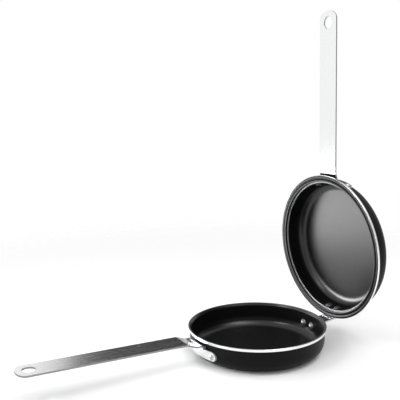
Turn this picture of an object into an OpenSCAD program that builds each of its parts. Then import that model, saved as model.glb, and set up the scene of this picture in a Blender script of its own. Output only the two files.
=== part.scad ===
// Double sided flip pan: two shallow frying pans that shut rim to rim on a riveted hinge.
// The lower pan stands on its base, with the middle of the base at the origin.
// The hinge is on the +X side and the lower handle runs out along -X.
// Pieces of the upper pan are drawn shut over the lower one, then swung open about the pin.

/* [Lower pan] */
// Diameter over the bare metal band of the lower rim
lower_rim_d = 200; // [180:1:240]
// Height of the lower pan from its base to its rim
lower_h = 37.7; // [36:0.1:48]
// Height of the bare metal band round the lower rim
lip_h = 3.6; // [2:0.1:5]
// How far the lower rim stands out past the wall
lip_reach = 1.8; // [0.8:0.1:3]
// How far the inside of the lower rim flares out
lip_flare = 2.3; // [1:0.1:2.6]
// Outside radius of the corner between base and wall
lower_corner_r = 19; // [12:0.5:20]

/* [Upper pan] */
// Width of the flange outside the seat
flange_w = 9.3; // [6:0.1:10]
// Thickness of the flange
flange_t = 3; // [2:0.1:3.2]
// Radial play between the lower rim and its seat
seat_play = 1; // [0.6:0.1:2]
// Depth of the seat below the face of the flange
seat_h = 3.5; // [2.5:0.1:4]
// Width of the ledge at the bottom of the seat
ledge_w = 2.5; // [1.5:0.1:3]
// Outside depth of the upper pan
upper_h = 35; // [34:0.1:46]
// Outside radius of the corner between base and wall
upper_corner_r = 17; // [12:0.5:18]

/* [Both pans] */
// Thickness of the pressed metal
sheet_t = 3; // [2.4:0.1:3.4]
// Draft angle of the walls
draft = 4; // [1:0.5:6]
// Gap between the lower rim and the ledge when shut
shut_gap = 0.3; // [0.2:0.1:1]

/* [Handles] */
// Distance from the middle of a pan to the tip of its handle
handle_reach = 349; // [280:1:380]
// Width of the handle strips
handle_w = 35.6; // [26:0.2:40]
// Thickness of the handle strips
handle_t = 2.5; // [2:0.1:3]
// Length of the rounded tip
tip_l = 11; // [8:0.5:16]
// Diameter of the hanging hole
hang_hole_d = 17; // [10:0.5:20]
// Distance from the tip to the middle of the hanging hole
hang_inset = 16.8; // [15:0.2:24]
// Slope of the lower handle up towards its tip
lower_tilt = 1.8; // [0.5:0.1:2]
// Slope of the upper handle up towards its tip when shut
upper_tilt = 2.1; // [2:0.1:3]
// Drop from the lower rim to the top face of the handle where its neck starts
lower_drop = 0.9; // [0.5:0.1:2.5]
// Rise from the flange face to the near face of the upper handle where its neck starts
upper_rise = 6.6; // [6:0.1:7.5]
// Distance from the lower rim out to the start of the neck
lower_neck_out = 24; // [18:0.5:30]
// Length of the sloping part of the lower neck
lower_neck_l = 15; // [12:0.5:17]
// Distance from the flange out to the start of the neck
upper_neck_out = 3; // [2:0.5:8]
// Length of the sloping part of the upper neck
upper_neck_l = 5; // [4:0.5:5]
// Gap between the lower rim and the neck below it
neck_gap = 2.8; // [2:0.1:4]
// Gap between the collar of the upper pan and the neck beside it
upper_neck_gap = 2; // [1.5:0.1:3]
// Radius of the bends, to the middle of the strip
bend_r = 3.5; // [2:0.1:4]
// Half the distance between the rivets of the lower handle
lower_rivet_y = 29.5; // [27:0.5:34]
// Half the distance between the rivets of the upper handle
upper_rivet_y = 31.5; // [27:0.5:34]
// Height of the lower handle's rivets above the base
lower_rivet_z = 18; // [17:0.5:20]
// Depth of the upper handle's rivets below the flange
upper_rivet_drop = 16.5; // [16:0.5:18]
// Radius of the lobes of a riveted foot
lobe_r = 7; // [6.6:0.1:7.6]

/* [Rivets] */
// Diameter of a rivet shank
rivet_d = 6; // [4:0.2:7]
// Diameter of the domed head inside the pan
head_d = 13; // [9:0.5:14]
// Height of the domed head
head_h = 3.2; // [2:0.1:4]
// Diameter of the set end outside the pan
set_d = 7.6; // [7.2:0.1:8]
// Height of the set end
set_h = 1.5; // [1:0.1:2]

/* [Hinge] */
// Distance from the lower rim out to the hinge pin
pin_out = 16.4; // [16:0.1:20]
// Height of the hinge pin above the base
pin_z = 17.8; // [17:0.1:18.4]
// Diameter of the hinge pin
pin_d = 4; // [3:0.1:5]
// Radial play of the pin in the knuckles that turn
pin_play = 0.05; // [0.02:0.01:0.1]
// Diameter of the two ends of the pin
pin_head_d = 6.4; // [5.6:0.1:7.4]
// Height of the two ends of the pin
pin_head_h = 1.6; // [1:0.1:2.5]
// Outside diameter of the knuckles
knuckle_d = 8; // [7.6:0.1:8.6]
// Width of the whole hinge along the pin
hinge_w = 24; // [20:0.5:28]
// Width of the middle knuckle
middle_w = 10.8; // [8:0.2:11]
// Gap between neighbouring knuckles
knuckle_gap = 0.3; // [0.2:0.1:0.6]
// Thickness of the hinge plates
plate_t = 2.2; // [1.8:0.1:2.4]
// Radius of the bends in the hinge plates, to the middle of the plate
plate_bend_r = 2.2; // [1.6:0.1:2.4]
// Half the distance between the two rivets of a hinge plate
hinge_rivet_y = 9.5; // [9.5:0.5:11]
// Height of the lower hinge rivets above the base
hinge_rivet_z = 18; // [17.5:0.1:20]
// Depth of the upper hinge rivets below the flange
hinge_rivet_drop = 11.6; // [11.4:0.1:13]
// Width of the riveted foot of a hinge plate
foot_w = 35; // [32:0.5:42]
// Radius of the corners of that foot
foot_corner_r = 5; // [2:0.5:6]
// Inward lean of the upper hinge leaf when shut
leaf_lean = 4; // [2:0.5:5]
// Length of the stop tab past the pin
stop_l = 9; // [7:0.5:12]
// Gap between the stop tab and the open leaf
stop_gap = 0.05; // [0.02:0.01:0.2]
// Angle that the upper pan opens to
open_angle = 87.1; // [60:0.1:100]

/* [Hidden] */
$fn = 96;

// Gap between pieces that are riveted together
contact = 0.04;
// Steps in each rounded corner of an outline
arc_steps = 10;
// Bevel on the cut edges of the rims
edge = 0.6;
// Room round a knuckle that a leaf turns past
knuckle_room = 0.6;
// Room between a set end and a bend beside it
set_room = 0.3;
// Height of the arm's underside above the bottom of its knuckle
arm_rise = 0.2;
// Gap under a set end where the plate curves away from it
set_lift = 0.1;
// Distance that a cutter runs past what it cuts
past = 2;

coat = "#1c1c1e";
bare = "#c9cbcc";
steel = "#b7b8ba";

lower_rim_r = lower_rim_d / 2;
lower_wall_top = lower_h - lip_h;
seat_r = lower_rim_r + seat_play;
upper_rim_r = seat_r + flange_w;
collar_r = seat_r + sheet_t;
ledge_z = upper_h - seat_h;
upper_wall_top = ledge_z - sheet_t;

// Each pan's wall: outside radius at the top, height of the top, corner radius
lower_shape = [lower_rim_r - lip_reach, lower_wall_top, lower_corner_r];
upper_shape = [seat_r - ledge_w + sheet_t / cos(draft), upper_wall_top, upper_corner_r];

// Height of the flange's face and of the upper pan's base when the pans are shut
flange_z = lower_h + shut_gap - seat_h;
shut_top = flange_z + upper_h;
pin_x = lower_rim_r + pin_out;
knuckle_r = knuckle_d / 2;
upper_rivet_z = upper_h - upper_rivet_drop;
upper_hinge_z = upper_h - hinge_rivet_drop;

function unit(v) = v / norm(v);
function left_of(v) = [-v[1], v[0]];
function turned(v, a) = [v[0] * cos(a) - v[1] * sin(a), v[0] * sin(a) + v[1] * cos(a)];
function reversed(list) = [for (i = [len(list) - 1:-1:0]) list[i]];

// Rounded turn of radius r at b on the way from a to c
function turn_arc(a, b, c, r) =
    let (way_in = unit(b - a), way_out = unit(c - b))
    let (angle = acos(way_in * way_out), side = sign(cross(way_in, way_out)))
    let (first = b - way_in * r * tan(angle / 2), middle = first + left_of(way_in) * r * side)
    [for (i = [0:arc_steps]) middle + turned(first - middle, side * angle * i / arc_steps)];

// Middle line of a bent strip
function bent_line(points, r) = [
    points[0],
    for (i = [1:len(points) - 2]) each turn_arc(points[i - 1], points[i], points[i + 1], r),
    points[len(points) - 1]];
function across(line, i) =
    left_of(unit(line[min(i + 1, len(line) - 1)] - line[max(i - 1, 0)]));
function strip_outline(line, t) = concat(
    [for (i = [0:len(line) - 1]) line[i] + across(line, i) * t / 2],
    reversed([for (i = [0:len(line) - 1]) line[i] - across(line, i) * t / 2]));

// Radius of the middle of a wall's rounded corner
function corner_x(shape) =
    shape[0] + (-shape[2] + (shape[2] - shape[1]) * sin(draft)) / cos(draft);
// Line from the middle of the base up the outside of the wall, moved out by grow
function wall_line(shape, grow) = concat(
    [[0, -grow]],
    [for (i = [0:arc_steps]) let (a = -90 + (90 - draft) * i / arc_steps)
        [corner_x(shape), shape[2]] + (shape[2] + grow) * [cos(a), sin(a)]],
    [[shape[0] + grow / cos(draft), shape[1]]]);
// Outside radius of the straight wall at height z
function wall_r(shape, z) = shape[0] - (shape[1] - z) * tan(draft);

// Everything inside a wall line
module pan_form(shape, grow) {
    rotate_extrude()
        polygon(concat(wall_line(shape, grow), [[0, shape[1]]]));
}

// Layer of thickness t that lies on the outside of a wall
module wall_layer(shape, t) {
    difference() {
        pan_form(shape, contact + t);
        pan_form(shape, contact);
    }
}

// Turns the upper pan over onto the lower one
module shut_over() {
    translate([0, 0, shut_top])
        rotate([180, 0, 0])
            children();
}

// Swings what is drawn shut to the open rest position
module swung_open() {
    translate([pin_x, 0, pin_z])
        rotate([0, open_angle, 0])
            translate([-pin_x, 0, -pin_z])
                children();
}

// Extrudes an outline in X and Z to a width along Y
module along_y(width) {
    rotate([90, 0, 0])
        linear_extrude(height = width, center = true)
            children();
}

// Extrudes an outline in Y and Z outwards along X
module along_x(reach) {
    rotate([90, 0, 90])
        linear_extrude(height = reach)
            children();
}

// Radius of a wall's surface at height z, moved out by grow
function surface_r(shape, z, grow) =
    let (r = shape[2] + grow)
    z < shape[2] - r * sin(draft)
        ? corner_x(shape) + sqrt(r * r - pow(shape[2] - z, 2))
        : wall_r(shape, min(z, shape[1])) + grow / cos(draft);

// Slope of a rivet, so that its head touches the wall above and below
function rivet_tilt(shape, z) =
    atan((surface_r(shape, z + head_d / 2, -sheet_t) - surface_r(shape, z - head_d / 2, -sheet_t))
        / head_d);
// Radius at which the foot of the domed head lies
function head_r(shape, z) =
    (surface_r(shape, z + head_d / 2, -sheet_t) + surface_r(shape, z - head_d / 2, -sheet_t)) / 2
        - head_d * head_d / (8 * wall_r(shape, z)) - contact;
// Length of the shank between the domed head and the set end, through a plate of thickness t
function shank_l(shape, z, t) =
    (surface_r(shape, z, t + contact) - head_r(shape, z)) / cos(rivet_tilt(shape, z)) + set_lift;
// Turn round the pan that puts a rivet at the distance y from the middle
function rivet_angle(shape, y, z) = asin(y / surface_r(shape, z, 0));

// Places what is drawn along Z on a rivet's axis, from the foot of its head outwards
module at_rivet(shape, angle, z) {
    rotate([0, 0, angle])
        translate([head_r(shape, z), 0, z])
            rotate([0, 90 + rivet_tilt(shape, z), 0])
                children();
}

module rivet_holes(shape, angles, z) {
    for (angle = angles)
        at_rivet(shape, angle, z)
            translate([0, 0, -past])
                cylinder(d = rivet_d + 2 * contact, h = shank_l(shape, z, handle_t) + 2 * past);
}

// Outline of a low dome from its crown at height h down to its foot
function dome_line(d, h) =
    let (ball_r = (d * d / 4 + h * h) / (2 * h))
    let (reach = h < d / 2 ? asin(d / 2 / ball_r) : 180 - asin(d / 2 / ball_r))
    [for (i = [0:arc_steps]) let (a = reach * i / arc_steps)
        [ball_r * sin(a), h - ball_r + ball_r * cos(a)]];

// Round bar of diameter d and length l with a dome on each end
module headed_bar(d, l, first_d, first_h, last_d, last_h) {
    rotate_extrude()
        polygon(concat(
            [for (point = dome_line(first_d, first_h)) [point[0], -point[1]]],
            [[d / 2, 0], [d / 2, l]],
            [for (point = reversed(dome_line(last_d, last_h))) [point[0], l + point[1]]]));
}

// Rivet with its domed head inside the wall and its set end on a plate of thickness t
module rivet(shape, angle, z, t) {
    at_rivet(shape, angle, z)
        headed_bar(rivet_d, shank_l(shape, z, t), head_d, head_h, set_d, set_h);
}

lower_handle_angle = rivet_angle(lower_shape, lower_rivet_y, lower_rivet_z);
upper_handle_angle = rivet_angle(upper_shape, upper_rivet_y, upper_rivet_z);
lower_hinge_angle = rivet_angle(lower_shape, hinge_rivet_y, hinge_rivet_z);
upper_hinge_angle = rivet_angle(upper_shape, hinge_rivet_y, upper_hinge_z);

module lower_pan() {
    color(coat)
        difference() {
            rotate_extrude()
                polygon(concat(
                    wall_line(lower_shape, 0),
                    [[lower_rim_r, lower_wall_top],
                        [lower_rim_r, lower_h - edge],
                        [lower_rim_r - edge, lower_h],
                        [lower_shape[0] - sheet_t + lip_flare, lower_h]],
                    reversed(wall_line(lower_shape, -sheet_t))));
            rivet_holes(lower_shape, [180 - lower_handle_angle, 180 + lower_handle_angle],
                lower_rivet_z);
            rivet_holes(lower_shape, [-lower_hinge_angle, lower_hinge_angle], hinge_rivet_z);
        }
}

module upper_pan() {
    color(coat)
        swung_open() shut_over()
            difference() {
                rotate_extrude()
                    polygon(concat(
                        wall_line(upper_shape, 0),
                        [[collar_r - edge, upper_wall_top],
                            [collar_r, upper_wall_top + edge],
                            [collar_r, upper_h - flange_t],
                            [upper_rim_r, upper_h - flange_t],
                            [upper_rim_r, upper_h - edge],
                            [upper_rim_r - edge, upper_h],
                            [seat_r + edge, upper_h],
                            [seat_r, upper_h - edge],
                            [seat_r, ledge_z],
                            [seat_r - ledge_w, ledge_z]],
                        reversed(wall_line(upper_shape, -sheet_t))));
                rivet_holes(upper_shape, [180 - upper_handle_angle, 180 + upper_handle_angle],
                    upper_rivet_z);
                rivet_holes(upper_shape, [-upper_hinge_angle, upper_hinge_angle], upper_hinge_z);
            }
}

// Outline of a handle seen from above, with its rounded tip
module handle_plan() {
    shoulder = handle_reach - tip_l;
    polygon(concat(
        [[0, -handle_w / 2]],
        [for (i = [0:2 * arc_steps]) let (a = -90 + 90 * i / arc_steps)
            [-shoulder - tip_l * cos(a), handle_w / 2 * sin(a)]],
        [[0, handle_w / 2]]));
}

// Riveted foot of a handle: two lobes and a raised middle
module handle_foot(rivet_y, rivet_z, top) {
    for (side = [-1, 1])
        translate([side * rivet_y, rivet_z])
            circle(r = lobe_r);
    translate([-rivet_y, rivet_z - lobe_r])
        square([2 * rivet_y, 2 * lobe_r]);
    translate([-handle_w / 2, rivet_z])
        square([handle_w, top - rivet_z]);
}

// Strip handle drawn for a pan that stands on its base.
// near_z and far_z are the heights of the strip's middle at the neck and at the tip.
module handle(shape, neck_x, near_z, far_z, neck_l, shelf_z, rivet_y, rivet_z) {
    leg_x = wall_r(shape, shelf_z) + contact + handle_t / 2;
    foot_top = shelf_z - handle_t / 2;
    slope = atan((far_z - near_z) / (handle_reach - neck_x));
    hang_x = handle_reach - hang_inset;
    hang_z = far_z - hang_inset * tan(slope);
    angle = rivet_angle(shape, rivet_y, rivet_z);
    line = bent_line([
        [-handle_reach, far_z],
        [-neck_x, near_z],
        [-neck_x + neck_l, shelf_z],
        [-leg_x, shelf_z],
        [-leg_x, rivet_z]], bend_r);
    difference() {
        union() {
            intersection() {
                along_y(handle_w)
                    polygon(strip_outline(line, handle_t));
                translate([0, 0, -handle_reach / 2])
                    linear_extrude(height = handle_reach)
                        handle_plan();
                mirror([1, 0, 0])
                    translate([leg_x - handle_t / 2, -handle_w, -handle_reach / 2])
                        cube([handle_reach, 2 * handle_w, handle_reach]);
            }
            intersection() {
                wall_layer(shape, handle_t);
                mirror([1, 0, 0])
                    along_x(shape[0] + 2 * handle_t)
                        handle_foot(rivet_y, rivet_z, foot_top);
            }
        }
        translate([-hang_x, 0, hang_z])
            rotate([0, slope, 0])
                cylinder(d = hang_hole_d, h = 4 * handle_t, center = true);
        rivet_holes(shape, [180 - angle, 180 + angle], rivet_z);
    }
}

lower_neck_x = lower_rim_r + lower_neck_out;
lower_near_z = lower_h - lower_drop - handle_t / 2;
upper_neck_x = upper_rim_r + upper_neck_out;
upper_near_z = upper_h - upper_rise - handle_t / 2;

module lower_handle() {
    color(steel)
        handle(lower_shape, lower_neck_x, lower_near_z,
            lower_near_z + (handle_reach - lower_neck_x) * tan(lower_tilt),
            lower_neck_l, lower_wall_top - neck_gap - handle_t / 2,
            lower_rivet_y, lower_rivet_z);
}

module upper_handle() {
    color(steel)
        swung_open() shut_over()
            handle(upper_shape, upper_neck_x, upper_near_z,
                upper_near_z - (handle_reach - upper_neck_x) * tan(upper_tilt),
                upper_neck_l, upper_wall_top - upper_neck_gap - handle_t / 2,
                upper_rivet_y, upper_rivet_z);
}

module lower_handle_rivet(side) {
    color(bare)
        rivet(lower_shape, 180 - side * lower_handle_angle, lower_rivet_z, handle_t);
}

module upper_handle_rivet(side) {
    color(bare)
        swung_open() shut_over()
            rivet(upper_shape, 180 + side * upper_handle_angle, upper_rivet_z, handle_t);
}

module lower_hinge_rivet(side) {
    color(bare)
        rivet(lower_shape, side * lower_hinge_angle, hinge_rivet_z, plate_t);
}

module upper_hinge_rivet(side) {
    color(bare)
        swung_open() shut_over()
            rivet(upper_shape, -side * upper_hinge_angle, upper_hinge_z, plate_t);
}

// Foot of a hinge plate on the wall, between two heights
module hinge_foot(shape, low, high) {
    intersection() {
        wall_layer(shape, plate_t);
        along_x(shape[0] + 2 * plate_t) {
            for (y = [-1, 1], z = [low + foot_corner_r, high - foot_corner_r])
                translate([y * (foot_w / 2 - foot_corner_r), z])
                    circle(r = foot_corner_r);
            translate([-foot_w / 2 + foot_corner_r, low])
                square([foot_w - 2 * foot_corner_r, high - low]);
            translate([-foot_w / 2, low + foot_corner_r])
                square([foot_w, high - low - 2 * foot_corner_r]);
        }
    }
}

// Cylinder on the pin's axis from y to y + width
module on_pin(r, y, width) {
    translate([pin_x, y + width, pin_z])
        rotate([90, 0, 0])
            cylinder(r = r, h = width);
}

side_knuckle_w = (hinge_w - middle_w) / 2 - knuckle_gap;
side_knuckle_y = [-hinge_w / 2, hinge_w / 2 - side_knuckle_w];

// Underside of the lower plate's arm, and the heights of its foot
arm_low = pin_z - knuckle_r + arm_rise;
lower_foot_low = arm_low - foot_corner_r / 2;
lower_foot_high = hinge_rivet_z + lobe_r;

// Level in the knuckle's wall from which the stop tab rises
stop_root = (knuckle_r + pin_d / 2) / 2;

// Leaf of the upper hinge plate when shut, through the middle of the plate
leaf_x = pin_x - knuckle_r + plate_t / 2;
shelf_z = shut_top - upper_hinge_z + set_d / 2 + set_room + plate_bend_r;
leaf_top_x = leaf_x - (shelf_z - pin_z) * tan(leaf_lean);
upper_foot_x = wall_r(upper_shape, shut_top - shelf_z) + contact + plate_t / 2;
upper_foot_high = shut_top - shelf_z;
upper_foot_low_edge = upper_wall_top - set_room;

// Places what is drawn along the middle of the shut leaf, from the level of the pin upwards
module along_leaf() {
    translate([leaf_x, 0, pin_z])
        rotate([0, -leaf_lean, 0])
            children();
}

// Lower plate: foot, arm, middle knuckle and the tab that the open leaf rests on
module lower_hinge_bracket() {
    arm_x = wall_r(lower_shape, arm_low);
    color(steel)
        difference() {
            union() {
                hinge_foot(lower_shape, lower_foot_low, lower_foot_high);
                on_pin(knuckle_r, -middle_w / 2, middle_w);
                translate([arm_x, -middle_w / 2, arm_low])
                    cube([pin_x - arm_x, middle_w, plate_t]);
                swung_open() along_leaf()
                    translate([plate_t / 2 + stop_gap, -middle_w / 2, stop_root])
                        cube([plate_t, middle_w, stop_l - stop_root]);
            }
            pan_form(lower_shape, contact);
            on_pin(pin_d / 2 + contact, -hinge_w, 2 * hinge_w);
            rivet_holes(lower_shape, [-lower_hinge_angle, lower_hinge_angle], hinge_rivet_z);
        }
}

// Upper plate: foot, leaf that wraps round the flange, and two knuckles at its sides
module upper_hinge_bracket() {
    line = bent_line([
        [leaf_x, pin_z],
        [leaf_top_x, shelf_z],
        [upper_foot_x, shelf_z],
        [upper_foot_x, shut_top - upper_hinge_z]], plate_bend_r);
    notch_w = middle_w + 2 * knuckle_gap;
    color(steel)
        swung_open()
            difference() {
                union() {
                    difference() {
                        along_y(hinge_w)
                            polygon(strip_outline(line, plate_t));
                        on_pin(knuckle_r + knuckle_room, -notch_w / 2, notch_w);
                        shut_over()
                            pan_form(upper_shape, contact);
                    }
                    for (y = side_knuckle_y)
                        on_pin(knuckle_r, y, side_knuckle_w);
                    shut_over()
                        hinge_foot(upper_shape, upper_foot_high, upper_foot_low_edge);
                }
                on_pin(pin_d / 2 + pin_play, -hinge_w, 2 * hinge_w);
                shut_over()
                    rivet_holes(upper_shape, [-upper_hinge_angle, upper_hinge_angle],
                        upper_hinge_z);
            }
}

module hinge_pin() {
    grip = hinge_w + 2 * knuckle_gap;
    color(bare)
        translate([pin_x, grip / 2, pin_z])
            rotate([90, 0, 0])
                headed_bar(pin_d, grip, pin_head_d, pin_head_h, pin_head_d, pin_head_h);
}

lower_pan();
upper_pan();
lower_handle();
upper_handle();
lower_handle_rivet(1);  // lower_handle_rivet_left
lower_handle_rivet(-1);  // lower_handle_rivet_right
upper_handle_rivet(1);  // upper_handle_rivet_left
upper_handle_rivet(-1);  // upper_handle_rivet_right
lower_hinge_bracket();
upper_hinge_bracket();
lower_hinge_rivet(1);  // lower_hinge_rivet_left
lower_hinge_rivet(-1);  // lower_hinge_rivet_right
upper_hinge_rivet(1);  // upper_hinge_rivet_left
upper_hinge_rivet(-1);  // upper_hinge_rivet_right
hinge_pin();
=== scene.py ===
import math

import bpy
from mathutils import Matrix, Vector


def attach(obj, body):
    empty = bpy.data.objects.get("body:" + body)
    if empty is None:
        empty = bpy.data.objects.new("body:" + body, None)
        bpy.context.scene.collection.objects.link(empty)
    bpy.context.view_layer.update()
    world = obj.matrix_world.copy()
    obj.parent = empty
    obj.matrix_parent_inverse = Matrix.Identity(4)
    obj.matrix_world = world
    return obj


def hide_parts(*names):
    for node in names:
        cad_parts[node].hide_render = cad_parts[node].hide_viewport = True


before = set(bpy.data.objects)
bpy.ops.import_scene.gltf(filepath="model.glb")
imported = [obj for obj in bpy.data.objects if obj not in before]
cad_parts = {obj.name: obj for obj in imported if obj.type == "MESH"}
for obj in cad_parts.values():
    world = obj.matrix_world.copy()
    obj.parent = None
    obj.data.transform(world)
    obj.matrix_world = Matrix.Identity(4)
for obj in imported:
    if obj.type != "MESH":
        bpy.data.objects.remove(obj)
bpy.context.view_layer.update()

mm = 0.001
mergeDistance = 0.002 * mm


def selectOnly(*pieces):
    if bpy.context.object and bpy.context.object.mode != "OBJECT":
        bpy.ops.object.mode_set(mode="OBJECT")
    bpy.ops.object.select_all(action="DESELECT")
    for piece in pieces:
        piece.select_set(True)
    if pieces:
        bpy.context.view_layer.objects.active = pieces[0]


def named(name):
    piece = bpy.context.object
    piece.name = name
    piece.data.name = name
    return piece


def applyModifier(piece, kind, **settings):
    selectOnly(piece)
    bpy.ops.object.modifier_add(type=kind)
    modifier = piece.modifiers[-1]
    for key, value in settings.items():
        setattr(modifier, key, value)
    bpy.ops.object.modifier_apply(modifier=modifier.name)


def cutWith(piece, cutter, operation):
    applyModifier(piece, "BOOLEAN", operation=operation, object=cutter, solver="EXACT")
    bpy.data.objects.remove(cutter)


def tidyMesh(piece):
    selectOnly(piece)
    bpy.ops.object.mode_set(mode="EDIT")
    bpy.ops.mesh.select_all(action="SELECT")
    bpy.ops.mesh.remove_doubles(threshold=mergeDistance)
    bpy.ops.mesh.normals_make_consistent(inside=False)
    bpy.ops.object.mode_set(mode="OBJECT")


def softenEdges(piece, width, angle=40):
    applyModifier(piece, "BEVEL", width=width * mm, segments=2, limit_method="ANGLE",
                  angle_limit=math.radians(angle), harden_normals=False)


# Smooth shading that keeps the broad flat faces flat
def smoothSides(piece, angle=35):
    selectOnly(piece)
    bpy.ops.object.shade_smooth_by_angle(angle=math.radians(angle))
    applyModifier(piece, "WEIGHTED_NORMAL", keep_sharp=True, weight=100)


def settle(piece, place):
    selectOnly(piece)
    piece.matrix_world = place
    bpy.ops.object.transform_apply(location=True, rotation=True, scale=True)


supportLoop = {"fromRadius": 5, "distance": 0.4}


# Rounds the corners of a line; each corner is (across, up, radius). A large round gets one
# more point on each side, which keeps the flat beside it flat when it is shaded smooth
def roundedLine(corners, steps=8):
    points = [Vector(corners[0][:2])]
    for before, here, after in zip(corners, corners[1:], corners[2:]):
        corner = Vector(here[:2])
        wayIn = (corner - Vector(before[:2])).normalized()
        wayOut = (Vector(after[:2]) - corner).normalized()
        turn = wayIn.angle_signed(wayOut)
        if here[2] == 0 or abs(turn) < 1e-4:
            points.append(corner)
            continue
        start = corner - wayIn * here[2] * math.tan(abs(turn) / 2)
        side = -1 if turn > 0 else 1
        middle = start + Vector((-wayIn.y, wayIn.x)) * here[2] * side
        arm = start - middle
        large = here[2] > supportLoop["fromRadius"]
        if large:
            points.append(start - wayIn * supportLoop["distance"])
        for step in range(steps + 1):
            spin = -turn * step / steps
            points.append(middle + Vector((arm.x * math.cos(spin) - arm.y * math.sin(spin),
                                           arm.x * math.sin(spin) + arm.y * math.cos(spin))))
        if large:
            points.append(points[-1] + wayOut * supportLoop["distance"])
    points.append(Vector(corners[-1][:2]))
    return points


# Turned piece round Z: a disc is raised ring by ring along the line (radius, height)
def turnedPiece(name, line, sides):
    selectOnly()
    bpy.ops.mesh.primitive_circle_add(vertices=sides, radius=line[0].x * mm, fill_type="NGON",
                                      location=(0, 0, line[0].y * mm))
    piece = named(name)
    bpy.ops.object.transform_apply(location=True, rotation=False, scale=False)
    bpy.ops.object.mode_set(mode="EDIT")
    bpy.ops.mesh.select_all(action="SELECT")
    for below, above in zip(line, line[1:]):
        bpy.ops.mesh.extrude_region_move(
            TRANSFORM_OT_translate={"value": (0, 0, (above.y - below.y) * mm)})
        grow = above.x / below.x
        bpy.ops.transform.resize(value=(grow, grow, 1), center_override=(0, 0, above.y * mm))
    bpy.ops.object.mode_set(mode="OBJECT")
    tidyMesh(piece)
    return piece


# Bent strip: an edge across Y is drawn on through the stations (x, z, half width)
def drawnStrip(name, stations, thickness):
    selectOnly()
    bpy.ops.mesh.primitive_plane_add(size=1)
    piece = named(name)
    bpy.ops.object.mode_set(mode="EDIT")
    bpy.ops.mesh.select_all(action="DESELECT")
    bpy.ops.object.mode_set(mode="OBJECT")
    for vertex in piece.data.vertices:
        vertex.select = vertex.co.x > 0
    bpy.ops.object.mode_set(mode="EDIT")
    bpy.ops.mesh.delete(type="VERT")
    bpy.ops.mesh.select_all(action="SELECT")
    x, z, half = stations[0]
    bpy.ops.transform.resize(value=(1, 2 * half * mm, 1), center_override=(-0.5, 0, 0))
    bpy.ops.transform.translate(value=(x * mm + 0.5, 0, z * mm))
    for here, ahead in zip(stations, stations[1:]):
        bpy.ops.mesh.extrude_region_move(TRANSFORM_OT_translate={
            "value": ((ahead[0] - here[0]) * mm, 0, (ahead[1] - here[1]) * mm)})
        bpy.ops.transform.resize(value=(1, ahead[2] / here[2], 1),
                                 center_override=(ahead[0] * mm, 0, ahead[1] * mm))
    bpy.ops.object.mode_set(mode="OBJECT")
    applyModifier(piece, "SOLIDIFY", thickness=thickness * mm, offset=0, use_even_offset=True)
    tidyMesh(piece)
    return piece


lowerPan = {
    "rimRadius": 100, "height": 37.7, "bandHeight": 3.6, "wallRadius": 98.2,
    "cornerRadius": 19, "sheet": 3, "draft": 4, "flare": 2.3, "flatRadius": 60,
}
upperPan = {
    "seatRadius": 101, "flangeRadius": 110.28, "flange": 3, "collarRadius": 104, "height": 35,
    "seatDepth": 3.5, "groove": 1, "ledge": 2.5, "cornerRadius": 17, "sheet": 3, "draft": 4,
    "flatRadius": 60,
}
hinge = {
    "pinX": 116.4, "pinZ": 17.8, "open": 87.1, "shutGap": 0.3,
}
panSides = 180

slant = math.tan(math.radians(lowerPan["draft"]))
skew = math.cos(math.radians(lowerPan["draft"]))
shutTop = lowerPan["height"] + hinge["shutGap"] - upperPan["seatDepth"] + upperPan["height"]
pinPlace = Vector((hinge["pinX"], 0, hinge["pinZ"])) * mm
swungOpen = (Matrix.Translation(pinPlace)
             @ Matrix.Rotation(math.radians(hinge["open"]), 4, "Y")
             @ Matrix.Translation(-pinPlace)
             @ Matrix.Translation((0, 0, shutTop * mm))
             @ Matrix.Rotation(math.pi, 4, "X"))
asBuilt = Matrix.Identity(4)


def lowerPanLine(size):
    top = size["height"] - size["bandHeight"]
    outer = size["wallRadius"]
    inner = outer - size["sheet"] / skew
    floor = size["sheet"]
    return roundedLine([
        (size["flatRadius"], 0, 0),
        (outer - top * slant, 0, size["cornerRadius"]),
        (outer, top, 0.4),
        (size["rimRadius"], top, 0.5),
        (size["rimRadius"], size["height"], 0.6),
        (outer - size["sheet"] + size["flare"], size["height"], 0.5),
        (inner, top, 2),
        (inner - (top - floor) * slant, floor, size["cornerRadius"] - size["sheet"]),
        (size["flatRadius"], floor, 0)], steps=12)


def upperPanLine(size):
    ledge = size["height"] - size["seatDepth"]
    top = ledge - size["sheet"]
    inner = size["seatRadius"] - size["ledge"]
    outer = inner + size["sheet"] / skew
    floor = size["sheet"]
    return roundedLine([
        (size["flatRadius"], 0, 0),
        (outer - top * slant, 0, size["cornerRadius"]),
        (outer, top, 0.6),
        (size["collarRadius"], top, 0.9),
        (size["collarRadius"], size["height"] - size["flange"], 1),
        (size["flangeRadius"], size["height"] - size["flange"], 0.3),
        (size["flangeRadius"], size["height"] - 0.1, 0.5),
        (size["flangeRadius"] - 2, size["height"], 2),
        (size["flangeRadius"] - 3.4, size["height"] - 0.1, 0.5),
        (size["flangeRadius"] - 4.9, size["height"] - size["groove"], 0.8),
        (size["flangeRadius"] - 6.2, size["height"] - 0.1, 0.5),
        (size["flangeRadius"] - 7.4, size["height"], 2),
        (size["seatRadius"], size["height"] - 0.1, 0.9),
        (size["seatRadius"], ledge, 0.5),
        (inner, ledge, 0.6),
        (inner, top, 1.5),
        (inner - (top - floor) * slant, floor, size["cornerRadius"] - size["sheet"]),
        (size["flatRadius"], floor, 0)], steps=10)


def buildPans():
    low = turnedPiece("LowerPanShell", lowerPanLine(lowerPan), panSides)
    up = turnedPiece("UpperPanShell", upperPanLine(upperPan), panSides)
    return low, up


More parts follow.
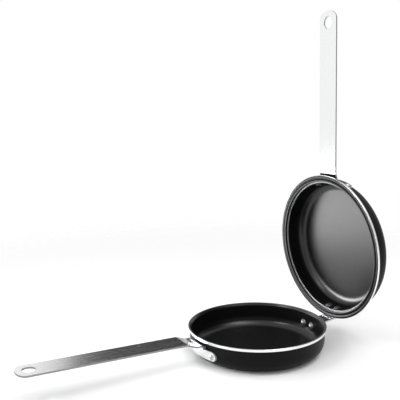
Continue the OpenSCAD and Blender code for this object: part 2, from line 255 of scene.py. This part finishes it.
rivets = {
    "head": 13, "headHeight": 3.2, "shank": 6, "setEnd": 7.6, "setHeight": 1.5,
    "lift": 0.1, "contact": 0.04, "headEdge": 0.35, "soften": 0.25, "sides": 40,
    "lowerHandle": (29.5, 18), "upperHandle": (31.5, 18.5),
    "lowerHinge": (9.5, 18), "upperHinge": (9.5, 23.4),
}
handles = {
    "reach": 349, "width": 35.6, "sheet": 2.5, "tip": 11, "hole": 17, "holeInset": 16.8,
    "bend": 3.5, "leg": 5.5, "lobe": 7, "edge": 0.45, "footSpread": 28,
}
hingePlate = {"sheet": 2.2, "edge": 0.25, "pinEdge": 0.1}

lowerWall = (lowerPan["wallRadius"], lowerPan["height"] - lowerPan["bandHeight"],
             lowerPan["cornerRadius"])
upperWall = (upperPan["seatRadius"] - upperPan["ledge"] + upperPan["sheet"] / skew,
             upperPan["height"] - upperPan["seatDepth"] - upperPan["sheet"],
             upperPan["cornerRadius"])


# Radius of a wall (radius at its top, height of its top, corner radius), moved out by grow
def wallRadius(wall, height, grow=0):
    top, level, corner = wall
    lean = math.sin(math.radians(lowerPan["draft"]))
    radius = corner + grow
    if height < corner - radius * lean:
        middle = top + (-corner + (corner - level) * lean) / skew
        return middle + math.sqrt(radius * radius - (corner - height) ** 2)
    return top - (level - min(height, level)) * slant + grow / skew


def rivetPlace(wall, side, across, height, plate):
    half = rivets["head"] / 2
    above = wallRadius(wall, height + half, -lowerPan["sheet"])
    below = wallRadius(wall, height - half, -lowerPan["sheet"])
    tilt = math.atan((above - below) / rivets["head"])
    straight = wall[0] - (wall[1] - height) * slant
    foot = (above + below) / 2 - rivets["head"] ** 2 / (8 * straight) - rivets["contact"]
    outside = wallRadius(wall, height, plate + rivets["contact"])
    length = (outside - foot) / math.cos(tilt) + rivets["lift"]
    turn = math.asin(across / wallRadius(wall, height))
    heading = math.pi - turn if side == "handle" else turn
    place = (Matrix.Rotation(heading, 4, "Z")
             @ Matrix.Translation((foot * mm, 0, height * mm))
             @ Matrix.Rotation(math.pi / 2 + tilt, 4, "Y"))
    return place, length


# Low dome from its crown down to its foot
def domeLine(width, height, steps=8):
    ball = (width * width / 4 + height * height) / (2 * height)
    reach = math.asin(width / 2 / ball)
    angles = [reach * step / steps for step in range(1, steps + 1)]
    return [(ball * math.sin(angle), height - ball + ball * math.cos(angle)) for angle in angles]


def buildRivet(name, length):
    edge = rivets["headEdge"]
    line = [Vector((across, -up - edge))
            for across, up in domeLine(rivets["head"], rivets["headHeight"] - edge)]
    line += [Vector((rivets["head"] / 2, 0)), Vector((rivets["shank"] / 2, 0)),
             Vector((rivets["shank"] / 2, length)), Vector((rivets["setEnd"] / 2, length))]
    line += [Vector((across, length + up)) for across, up in
             reversed(domeLine(rivets["setEnd"], rivets["setHeight"], 6))]
    piece = turnedPiece(name, line, rivets["sides"])
    softenEdges(piece, rivets["soften"], 50)
    return piece


def buildRivets():
    made = {}
    for which, wall, place, body in (
            ("lowerHandle", lowerWall, asBuilt, "lower_half"),
            ("upperHandle", upperWall, swungOpen, "upper_half"),
            ("lowerHinge", lowerWall, asBuilt, "lower_half"),
            ("upperHinge", upperWall, swungOpen, "upper_half")):
        across, height = rivets[which]
        side = "handle" if "Handle" in which else "hinge"
        plate = handles["sheet"] if side == "handle" else hingePlate["sheet"]
        for hand in ("left", "right"):
            facing = 1 if hand == "left" else -1
            if wall is upperWall:
                facing = -facing
            spot, length = rivetPlace(wall, side, facing * across, height, plate)
            node = f"{'lower' if wall is lowerWall else 'upper'}_{side}_rivet_{hand}"
            name = "".join(word.capitalize() for word in node.split("_"))
            piece = buildRivet(name, length)
            paintRivet(piece)
            settle(piece, place @ spot)
            smoothSides(piece)
            made[node] = (piece, body)
    return made


lowerStrip = {"neck": 124, "neckRun": 15, "near": 35.55, "slope": 1.8, "shelf": 30.05,
              "rivet": rivets["lowerHandle"]}
upperStrip = {"neck": 113.3, "neckRun": 5, "near": 27.15, "slope": -2.1, "shelf": 25.25,
              "rivet": rivets["upperHandle"]}


# Height of a strip's middle at a distance out from the pan's middle, beyond its neck
def stripHeight(size, out):
    return size["near"] + (out - size["neck"]) * math.tan(math.radians(size["slope"]))


# The strip from its rounded tip, along and down its neck, to the top of its foot
def stripStations(size, wall):
    leg = wall[0] - (wall[1] - size["shelf"]) * slant + rivets["contact"] + handles["sheet"] / 2
    half = handles["width"] / 2
    shoulder = handles["reach"] - handles["tip"]
    stations = []
    for step in range(1, 13):
        angle = math.radians(90 * step / 12 if step > 1 else 5)
        x = shoulder + handles["tip"] * math.cos(angle)
        stations.append((-x, stripHeight(size, x), half * math.sin(angle)))
    bends = roundedLine([
        (-shoulder, stripHeight(size, shoulder), 0),
        (-size["neck"], size["near"], handles["bend"]),
        (-size["neck"] + size["neckRun"], size["shelf"], handles["bend"]),
        (-leg, size["shelf"], handles["bend"]),
        (-leg, size["shelf"] - handles["leg"], 0)])
    stations += [(point.x, point.y, half) for point in bends[1:]]
    return stations


# Cutter across X: a rounded bar as long as the foot, and the raised middle above it
def footCutter(across, height, top, lobe):
    selectOnly()
    bpy.ops.mesh.primitive_circle_add(vertices=48, radius=lobe * mm, fill_type="NGON",
                                      rotation=(0, math.pi / 2, 0),
                                      location=(-60 * mm, 0, height * mm))
    cutter = named("footCutter")
    bpy.ops.object.transform_apply(location=True, rotation=True, scale=True)
    for side in (-1, 1):
        bpy.ops.object.mode_set(mode="OBJECT")
        for polygon in cutter.data.polygons:
            polygon.select = False
        for edge in cutter.data.edges:
            edge.select = False
        for vertex in cutter.data.vertices:
            vertex.select = vertex.co.y * side > 1e-6
        bpy.ops.object.mode_set(mode="EDIT")
        bpy.ops.transform.translate(value=(0, side * across * mm, 0))
    bpy.ops.mesh.select_all(action="SELECT")
    bpy.ops.mesh.extrude_region_move(TRANSFORM_OT_translate={"value": (-80 * mm, 0, 0)})
    bpy.ops.object.mode_set(mode="OBJECT")
    tidyMesh(cutter)
    selectOnly()
    bpy.ops.mesh.primitive_cube_add(size=1, location=(-100 * mm, 0, (top + height) / 2 * mm),
                                    scale=(80 * mm, handles["width"] * mm, (top - height) * mm))
    middle = named("footMiddle")
    bpy.ops.object.transform_apply(location=True, rotation=True, scale=True)
    cutWith(cutter, middle, "UNION")
    return cutter


# Band that lies on the outside of a wall between two heights, spread degrees to each side
def wallBand(name, wall, low, high, thickness, spread):
    selectOnly()
    bpy.ops.mesh.primitive_plane_add(size=1)
    piece = named(name)
    for vertex in piece.data.vertices:
        vertex.select = vertex.co.x > 0 or vertex.co.y > 0
    for group in (piece.data.edges, piece.data.polygons):
        for item in group:
            item.select = False
    bpy.ops.object.mode_set(mode="EDIT")
    bpy.ops.mesh.delete(type="VERT")
    bpy.ops.mesh.select_all(action="SELECT")
    off = rivets["contact"] + thickness / 2
    steps = 14
    levels = [low + (high - low) * step / steps for step in range(steps + 1)]
    line = [(wallRadius(wall, level, off), level) for level in levels]
    start = math.radians(180 - spread)
    aim = Vector((math.cos(start), math.sin(start), 0))
    first = aim * line[0][0] * mm + Vector((0, 0, line[0][1] * mm))
    bpy.ops.transform.translate(value=first - Vector((-0.5, -0.5, 0)))
    for here, ahead in zip(line, line[1:]):
        step = aim * (ahead[0] - here[0]) * mm + Vector((0, 0, (ahead[1] - here[1]) * mm))
        bpy.ops.mesh.extrude_region_move(TRANSFORM_OT_translate={"value": step})
    bpy.ops.mesh.select_all(action="SELECT")
    bpy.ops.mesh.spin(steps=36, angle=math.radians(2 * spread), center=(0, 0, 0), axis=(0, 0, -1))
    bpy.ops.object.mode_set(mode="OBJECT")
    tidyMesh(piece)
    if piece.data.polygons[0].normal.x > 0:
        selectOnly(piece)
        bpy.ops.object.mode_set(mode="EDIT")
        bpy.ops.mesh.select_all(action="SELECT")
        bpy.ops.mesh.flip_normals()
        bpy.ops.object.mode_set(mode="OBJECT")
    applyModifier(piece, "SOLIDIFY", thickness=thickness * mm, offset=0)
    tidyMesh(piece)
    return piece


# The thin sheared sides of the strip are duller than its brushed faces
def paintHandle(piece, size, steel):
    dress(piece, steel, shearedSteel)
    for polygon in piece.data.polygons:
        place, facing = polygon.center / mm, polygon.normal
        if place.z < size["shelf"] - 3 and place.x > -112:
            level = (facing.x * place.x + facing.y * place.y) / math.hypot(place.x, place.y)
        elif place.x < 40 - handles["reach"]:
            level = facing.z
        else:
            level = math.hypot(facing.x, facing.z)
        polygon.material_index = 1 if abs(level) < 0.55 else 0


def buildHandle(name, size, wall, place, steel):
    strip = drawnStrip(name, stripStations(size, wall), handles["sheet"])
    slope = math.radians(size["slope"])
    holeX = handles["reach"] - handles["holeInset"]
    holeZ = stripHeight(size, holeX)
    selectOnly()
    bpy.ops.mesh.primitive_cylinder_add(vertices=72, radius=handles["hole"] / 2 * mm,
                                        depth=30 * mm, rotation=(0, slope, 0),
                                        location=(-holeX * mm, 0, holeZ * mm))
    cutWith(strip, named("holeCutter"), "DIFFERENCE")
    softenEdges(strip, handles["edge"], 50)
    across, height = size["rivet"]
    top = size["shelf"] - handles["sheet"] / 2
    foot = wallBand("foot", wall, height - handles["lobe"] - 1, top, handles["sheet"],
                    handles["footSpread"])
    cutWith(foot, footCutter(across, height, top, handles["lobe"]), "INTERSECT")
    softenEdges(foot, handles["edge"], 50)
    cutWith(strip, foot, "UNION")
    tidyMesh(strip)
    paintHandle(strip, size, steel)
    settle(strip, place)
    smoothSides(strip)
    return strip


def mergedCopy(node, name, edge):
    selectOnly(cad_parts[node])
    bpy.ops.object.duplicate()
    piece = named(name)
    piece.parent = None
    bpy.ops.object.mode_set(mode="EDIT")
    bpy.ops.mesh.select_all(action="SELECT")
    bpy.ops.mesh.remove_doubles(threshold=mergeDistance)
    bpy.ops.mesh.dissolve_limited(angle_limit=math.radians(1))
    bpy.ops.object.mode_set(mode="OBJECT")
    softenEdges(piece, edge, 40)
    smoothSides(piece)
    return piece


def shaderGroup(name, inputs, outputs):
    group = bpy.data.node_groups.new(name, "ShaderNodeTree")
    for title, kind, value in inputs:
        socket = group.interface.new_socket(name=title, in_out="INPUT", socket_type=kind)
        if value is not None:
            socket.default_value = value
    for title, kind in outputs:
        group.interface.new_socket(name=title, in_out="OUTPUT", socket_type=kind)
    return group, group.nodes.new("NodeGroupInput"), group.nodes.new("NodeGroupOutput")


# Fine grain: stretched noise, for brushed steel and for the pebble of a coating
def makeGrain():
    group, given, result = shaderGroup("surfaceGrain", [
        ("Vector", "NodeSocketVector", None),
        ("Stretch", "NodeSocketVector", (1, 1, 1)),
        ("Scale", "NodeSocketFloat", 600.0),
        ("Low", "NodeSocketFloat", 0.3),
        ("High", "NodeSocketFloat", 0.5)],
        [("Grain", "NodeSocketFloat"), ("Range", "NodeSocketFloat")])
    nodes, links = group.nodes, group.links
    stretch = nodes.new("ShaderNodeVectorMath")
    stretch.operation = "MULTIPLY"
    links.new(given.outputs["Vector"], stretch.inputs[0])
    links.new(given.outputs["Stretch"], stretch.inputs[1])
    noise = nodes.new("ShaderNodeTexNoise")
    noise.inputs["Detail"].default_value = 4
    noise.inputs["Roughness"].default_value = 0.6
    links.new(stretch.outputs[0], noise.inputs["Vector"])
    links.new(given.outputs["Scale"], noise.inputs["Scale"])
    spread = nodes.new("ShaderNodeMapRange")
    spread.inputs["From Min"].default_value = 0.25
    spread.inputs["From Max"].default_value = 0.75
    links.new(noise.outputs["Fac"], spread.inputs["Value"])
    links.new(given.outputs["Low"], spread.inputs["To Min"])
    links.new(given.outputs["High"], spread.inputs["To Max"])
    links.new(noise.outputs["Fac"], result.inputs["Grain"])
    links.new(spread.outputs["Result"], result.inputs["Range"])
    return group


# Wear mask: bright where edges stand proud, broken up by noise
def makeWear():
    group, given, result = shaderGroup("edgeWear", [
        ("Vector", "NodeSocketVector", None),
        ("Edge", "NodeSocketFloat", 0.55),
        ("Amount", "NodeSocketFloat", 0.5)],
        [("Mask", "NodeSocketFloat")])
    nodes, links = group.nodes, group.links
    shape = nodes.new("ShaderNodeNewGeometry")
    proud = nodes.new("ShaderNodeMapRange")
    links.new(shape.outputs["Pointiness"], proud.inputs["Value"])
    links.new(given.outputs["Edge"], proud.inputs["From Min"])
    proud.inputs["From Max"].default_value = 0.7
    noise = nodes.new("ShaderNodeTexNoise")
    noise.inputs["Scale"].default_value = 220
    links.new(given.outputs["Vector"], noise.inputs["Vector"])
    broken = nodes.new("ShaderNodeMath")
    broken.operation = "MULTIPLY"
    links.new(proud.outputs["Result"], broken.inputs[0])
    links.new(noise.outputs["Fac"], broken.inputs[1])
    scaled = nodes.new("ShaderNodeMath")
    scaled.operation = "MULTIPLY"
    scaled.use_clamp = True
    links.new(broken.outputs[0], scaled.inputs[0])
    links.new(given.outputs["Amount"], scaled.inputs[1])
    links.new(scaled.outputs[0], result.inputs["Mask"])
    return group


grainGroup = makeGrain()
wearGroup = makeWear()


def newMaterial(name, **sockets):
    material = bpy.data.materials.new(name)
    material.use_nodes = True
    shader = material.node_tree.nodes["Principled BSDF"]
    for title, value in sockets.items():
        shader.inputs[title].default_value = value
    return material, material.node_tree.nodes, material.node_tree.links, shader


def addGrain(nodes, links, shader, coordinates, stretch, scale, low, high, height):
    grain = nodes.new("ShaderNodeGroup")
    grain.node_tree = grainGroup
    grain.inputs["Stretch"].default_value = stretch
    grain.inputs["Scale"].default_value = scale
    grain.inputs["Low"].default_value = low
    grain.inputs["High"].default_value = high
    links.new(coordinates, grain.inputs["Vector"])
    links.new(grain.outputs["Range"], shader.inputs["Roughness"])
    bump = nodes.new("ShaderNodeBump")
    bump.inputs["Distance"].default_value = height * mm
    bump.inputs["Strength"].default_value = 1.0
    links.new(grain.outputs["Grain"], bump.inputs["Height"])
    links.new(bump.outputs["Normal"], shader.inputs["Normal"])
    return grain


def mixColours(nodes, links, factor, first, second, target):
    mix = nodes.new("ShaderNodeMix")
    mix.data_type = "RGBA"
    mix.inputs["A"].default_value = first
    mix.inputs["B"].default_value = second
    links.new(factor, mix.inputs["Factor"])
    links.new(mix.outputs["Result"], target)


coating = {
    "black": (0.004, 0.004, 0.0045, 1), "fleck": (0.02, 0.02, 0.022, 1),
    "insideRoughness": (0.25, 0.35), "outsideRoughness": (0.32, 0.48), "pebble": 0.03,
    "rim": (0.09, 0.09, 0.092, 1), "rimRoughness": (0.2, 0.35), "rimShine": 0.8,
    # The head colour is lighter than the pan's black, as painted light on the coated rivet domes
    "head": (0.03, 0.03, 0.031, 1), "headRoughness": (0.18, 0.26), "headShine": 1.0,
    # The inside walls' shine is set lower than the floor's as painted shade
    "coatRoughness": 0.2, "insideShine": 0.48, "paintedWallShadeShine": 0.12, "outsideShine": 0.1,
}
metal = {
    "bare": (0.86, 0.865, 0.87, 1), "ledge": (0.3, 0.3, 0.305, 1),
    "sheared": (0.3, 0.3, 0.305, 1), "plate": (0.6, 0.6, 0.61, 1), "rivet": (0.5, 0.5, 0.51, 1),
    "steel": (0.87, 0.875, 0.88, 1), "scuffed": (0.62, 0.625, 0.63, 1),
}


def makeCoating(name, roughness, scale, shine, colour="black", coat=0.0):
    material, nodes, links, shader = newMaterial(name, **{
        "Specular IOR Level": shine, "Coat Weight": coat,
        "Coat Roughness": coating["coatRoughness"]})
    coordinates = nodes.new("ShaderNodeTexCoord").outputs["Object"]
    grain = addGrain(nodes, links, shader, coordinates, (1, 1, 1), scale, *roughness,
                     coating["pebble"])
    flecks = nodes.new("ShaderNodeMapRange")
    flecks.inputs["From Min"].default_value = 0.62
    flecks.inputs["From Max"].default_value = 0.74
    links.new(grain.outputs["Grain"], flecks.inputs["Value"])
    mixColours(nodes, links, flecks.outputs["Result"], coating[colour], coating["fleck"],
               shader.inputs["Base Color"])
    return material


def makeMetal(name, colour, stretch, scale, roughness, height):
    material, nodes, links, shader = newMaterial(name, Metallic=1.0)
    coordinates = nodes.new("ShaderNodeTexCoord").outputs["Object"]
    addGrain(nodes, links, shader, coordinates, stretch, scale, *roughness, height)
    wear = nodes.new("ShaderNodeGroup")
    wear.node_tree = wearGroup
    links.new(coordinates, wear.inputs["Vector"])
    mixColours(nodes, links, wear.outputs["Mask"], colour, metal["scuffed"],
               shader.inputs["Base Color"])
    return material


insideCoat = makeCoating("nonstickInside", coating["insideRoughness"], 900, coating["insideShine"])
# Inside walls: the same coating with less shine, a painted-shade copy that renders the walls
# darker than the floor
shadedWallCoat = makeCoating("nonstickWallPaintedShade", coating["insideRoughness"], 900, coating["paintedWallShadeShine"])
# Rivet heads: a lighter, shinier copy of the pan's coating, painted light on the domes
litHeadCoat = makeCoating("rivetHeadCoat", coating["headRoughness"], 900, coating["headShine"],
                       "head", 1.0)
# Rim top: a lighter grey, shinier coating than the rest of the pan
rimCoat = makeCoating("lighterRimTop", coating["rimRoughness"], 900, coating["rimShine"], "rim")
outsideCoat = makeCoating("coatOutside", coating["outsideRoughness"], 700, coating["outsideShine"])
bareBand = makeMetal("turnedBand", metal["bare"], (1, 1, 8), 500, (0.16, 0.26), 0.002)
ledgeBand = makeMetal("wornLedge", metal["ledge"], (1, 1, 8), 500, (0.4, 0.6), 0.01)
lowerSteel = makeMetal("brushedSteelLower", metal["steel"], (0.02, 1, 1), 900, (0.2, 0.3), 0.002)
upperSteel = makeMetal("brushedSteelUpper", metal["steel"], (1, 1, 0.02), 900, (0.2, 0.3), 0.002)
shearedSteel = makeMetal("shearedEdge", metal["sheared"], (1, 1, 1), 700, (0.4, 0.6), 0.01)
plateSteel = makeMetal("hingePlateSteel", metal["plate"], (1, 0.05, 1), 700, (0.15, 0.25), 0.004)
setMetal = makeMetal("rivetMetal", metal["rivet"], (1, 1, 1), 1200, (0.2, 0.4), 0.01)


def dress(piece, *materials):
    piece.data.materials.clear()
    for material in materials:
        piece.data.materials.append(material)


# Heads inside a pan are coated with it, in a lighter grey that paints light on the domes, and the
# set ends outside are bare
def paintRivet(piece):
    dress(piece, litHeadCoat, setMetal)
    for polygon in piece.data.polygons:
        polygon.material_index = 1 if polygon.center.z > 1 * mm else 0


# Distance from the middle, height, and whether the face looks outwards, of a pan's polygon
def facePlace(polygon):
    place, facing = polygon.center / mm, polygon.normal
    radius = math.hypot(place.x, place.y)
    outward = facing.x * place.x + facing.y * place.y > 0.02 * radius + 0.01
    return radius, place.z, outward


# Numbers are places in each pan's list of materials
def paintPans(low, up):
    dress(low, insideCoat, outsideCoat, bareBand, shadedWallCoat, rimCoat)
    for polygon in low.data.polygons:
        radius, height, outward = facePlace(polygon)
        onBand = height > lowerPan["height"] - lowerPan["bandHeight"]
        if onBand and radius > lowerPan["wallRadius"] + 0.6:
            polygon.material_index = 2
        # The rim's top face gets the lighter grey, shinier coating
        elif height > lowerPan["height"] - 0.3 and polygon.normal.z > 0.5:
            polygon.material_index = 4
        elif outward or height < 1:
            polygon.material_index = 1
        # Inside walls take the painted-shade copy of the coating
        elif polygon.normal.z < 0.5:
            polygon.material_index = 3
    dress(up, insideCoat, outsideCoat, bareBand, shadedWallCoat, ledgeBand)
    ledge = upperPan["height"] - upperPan["seatDepth"]
    underside = upperPan["height"] - upperPan["flange"]
    for polygon in up.data.polygons:
        radius, height, outward = facePlace(polygon)
        onLedge = abs(height - ledge) < 0.7 and radius < upperPan["seatRadius"]
        onRim = radius > upperPan["flangeRadius"] - 0.6 and height > underside + 0.1
        if onRim:
            polygon.material_index = 2
        elif onLedge and polygon.normal.z > 0.3:
            polygon.material_index = 4
        elif outward or height < 1:
            polygon.material_index = 1
        # Inside walls take the painted-shade copy of the coating
        elif polygon.normal.z < 0.5:
            polygon.material_index = 3


print("pans")
lowerShell, upperShell = buildPans()
paintPans(lowerShell, upperShell)
smoothSides(lowerShell)
settle(upperShell, swungOpen)
smoothSides(upperShell)

print("rivets")
rivetPieces = buildRivets()

print("handles")
lowerHandle = buildHandle("LowerStripHandle", lowerStrip, lowerWall, asBuilt, lowerSteel)
upperHandle = buildHandle("UpperStripHandle", upperStrip, upperWall, swungOpen, upperSteel)

print("hinge")
lowerPlate = mergedCopy("lower_hinge_bracket", "LowerHingePlate", hingePlate["edge"])
upperPlate = mergedCopy("upper_hinge_bracket", "UpperHingePlate", hingePlate["edge"])
pin = mergedCopy("hinge_pin", "HingePin", hingePlate["pinEdge"])
dress(lowerPlate, plateSteel)
dress(upperPlate, plateSteel)
dress(pin, setMetal)

for piece, node, body, slot in (
        (lowerShell, "lower_pan", "lower_half", "nonstick_pan"),
        (upperShell, "upper_pan", "upper_half", "nonstick_pan"),
        (lowerHandle, "lower_handle", "lower_half", "steel_strip"),
        (upperHandle, "upper_handle", "upper_half", "steel_strip"),
        (lowerPlate, "lower_hinge_bracket", "lower_half", "steel_strip"),
        (upperPlate, "upper_hinge_bracket", "upper_half", "steel_strip"),
        (pin, "hinge_pin", "lower_half", "rivet")):
    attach(piece, body)
    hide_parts(node)
for node, (piece, body) in rivetPieces.items():
    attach(piece, body)
    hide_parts(node)


print("studio")
studio = {
    "floor": (0.93, 0.93, 0.93, 1), "floorReach": 0.55, "floorFade": 0.5,
    "stripPower": 0.45, "sidePower": 0.9, "topPower": 9, "accentPower": 2.4,
    "ambient": 0.8, "front": 0.75, "floorRadius": 3, "floorDrop": 0.0004, "stripSpread": 50,
    "camera": (-514.3, -750.8, 364.9), "heading": -29.39, "elevation": 9.02, "roll": -0.93,
    "lens": 58.598,
}


# Pale floor that fades into the white backdrop a little way out from the pan
def buildFloor():
    selectOnly()
    bpy.ops.mesh.primitive_circle_add(vertices=96, radius=studio["floorRadius"],
                                      fill_type="NGON", location=(0, 0, -studio["floorDrop"]))
    floor = named("StudioFloor")
    bpy.ops.object.transform_apply(location=True, rotation=False, scale=False)
    material, nodes, links, shader = newMaterial("paleFloor", Roughness=0.8)
    shader.inputs["Base Color"].default_value = studio["floor"]
    shader.inputs["Specular IOR Level"].default_value = 0.1
    place = nodes.new("ShaderNodeTexCoord")
    reach = nodes.new("ShaderNodeVectorMath")
    reach.operation = "LENGTH"
    links.new(place.outputs["Object"], reach.inputs[0])
    fade = nodes.new("ShaderNodeMapRange")
    fade.interpolation_type = "SMOOTHSTEP"
    fade.inputs["From Min"].default_value = studio["floorReach"]
    fade.inputs["From Max"].default_value = studio["floorReach"] + studio["floorFade"]
    fade.inputs["To Min"].default_value = 1
    fade.inputs["To Max"].default_value = 0
    links.new(reach.outputs["Value"], fade.inputs["Value"])
    links.new(fade.outputs["Result"], shader.inputs["Alpha"])
    dress(floor, material)


# Dark card that stands outside the picture and only shows in reflections
def addCard(name, place, aim, size, colour):
    selectOnly()
    bpy.ops.mesh.primitive_plane_add(size=1, location=place)
    card = named(name)
    card.scale = (size[0], size[1], 1)
    card.rotation_euler = (Vector(aim) - Vector(place)).to_track_quat("Z", "Y").to_euler()
    bpy.ops.object.transform_apply(location=True, rotation=True, scale=True)
    material, nodes, links, shader = newMaterial(name + "Cloth", Roughness=0.9)
    shader.inputs["Base Color"].default_value = colour
    shader.inputs["Specular IOR Level"].default_value = 0.0
    dress(card, material)
    card.visible_camera = False
    card.visible_diffuse = False
    card.visible_shadow = False


def addLamp(name, place, aim, size, power, spread=180):
    selectOnly()
    bpy.ops.object.light_add(type="AREA", location=place)
    lamp = named(name)
    lamp.data.shape = "RECTANGLE"
    lamp.data.size, lamp.data.size_y = size
    lamp.data.energy = power
    lamp.rotation_euler = (Vector(aim) - Vector(place)).to_track_quat("-Z", "Y").to_euler()
    lamp.data.spread = math.radians(spread)
    lamp.visible_camera = False


# White all round for the camera; shine sees white behind the pan and a dimmer room in front
def buildWorld():
    world = bpy.context.scene.world or bpy.data.worlds.new("studioWorld")
    bpy.context.scene.world = world
    world.use_nodes = True
    nodes, links = world.node_tree.nodes, world.node_tree.links
    nodes["Background"].inputs["Color"].default_value = (1, 1, 1, 1)
    heading = nodes.new("ShaderNodeSeparateXYZ")
    links.new(nodes.new("ShaderNodeTexCoord").outputs["Generated"], heading.inputs[0])
    room = nodes.new("ShaderNodeMapRange")
    room.interpolation_type = "SMOOTHSTEP"
    room.inputs["From Min"].default_value = -0.5
    room.inputs["From Max"].default_value = 0.2
    room.inputs["To Min"].default_value = studio["front"]
    links.new(heading.outputs["Y"], room.inputs["Value"])
    above = nodes.new("ShaderNodeMapRange")
    above.inputs["From Min"].default_value = -0.02
    above.inputs["From Max"].default_value = 0.08
    links.new(heading.outputs["Z"], above.inputs["Value"])
    dimmed = nodes.new("ShaderNodeMix")
    dimmed.inputs["A"].default_value = 1.0
    links.new(above.outputs["Result"], dimmed.inputs["Factor"])
    links.new(room.outputs["Result"], dimmed.inputs["B"])
    path = nodes.new("ShaderNodeLightPath")
    shine = nodes.new("ShaderNodeMix")
    shine.inputs["A"].default_value = studio["ambient"]
    links.new(path.outputs["Is Glossy Ray"], shine.inputs["Factor"])
    links.new(dimmed.outputs["Result"], shine.inputs["B"])
    seen = nodes.new("ShaderNodeMix")
    seen.inputs["B"].default_value = 1.0
    links.new(path.outputs["Is Camera Ray"], seen.inputs["Factor"])
    links.new(shine.outputs["Result"], seen.inputs["A"])
    links.new(seen.outputs["Result"], nodes["Background"].inputs["Strength"])


def buildCamera():
    az, el, roll = (math.radians(studio[key]) for key in ("heading", "elevation", "roll"))
    back = Vector((math.sin(az) * math.cos(el), -math.cos(az) * math.cos(el), math.sin(el)))
    right = Vector((math.cos(az), math.sin(az), 0))
    up = back.cross(right)
    across = right * math.cos(roll) + up * math.sin(roll)
    upright = up * math.cos(roll) - right * math.sin(roll)
    camera = bpy.data.objects.new("photoCamera", bpy.data.cameras.new("photoCamera"))
    bpy.context.collection.objects.link(camera)
    camera.data.lens = studio["lens"]
    camera.data.sensor_width = 36
    turn = Matrix((across, upright, back)).transposed().to_4x4()
    camera.matrix_world = Matrix.Translation(Vector(studio["camera"]) * mm) @ turn
    bpy.context.scene.camera = camera


buildFloor()
buildWorld()
addLamp("stripLamp", (-0.176, 0.372, 0.085), (0.159, 0, 0.045), (0.55, 0.16),
        studio["stripPower"], studio["stripSpread"])
addLamp("sideLamp", (-1.0, 0.35, 0.45), (0.13, 0, 0.15), (0.6, 0.6), studio["sidePower"])
addLamp("topLamp", (0.3, -0.55, 1.5), (0, 0, 0), (0.8, 0.8), studio["topPower"])
addLamp("accentLamp", (-0.9, 0.1, 1.0), (0.05, 0, 0.03), (0.25, 0.25), studio["accentPower"])
addCard("darkCard", (1.33, 1.86, 0.95), (-0.1, 0, 0.1), (2.0, 1.9), (0.02, 0.02, 0.02, 1))
buildCamera()

bpy.context.scene.view_settings.view_transform = "Standard"

print("done")
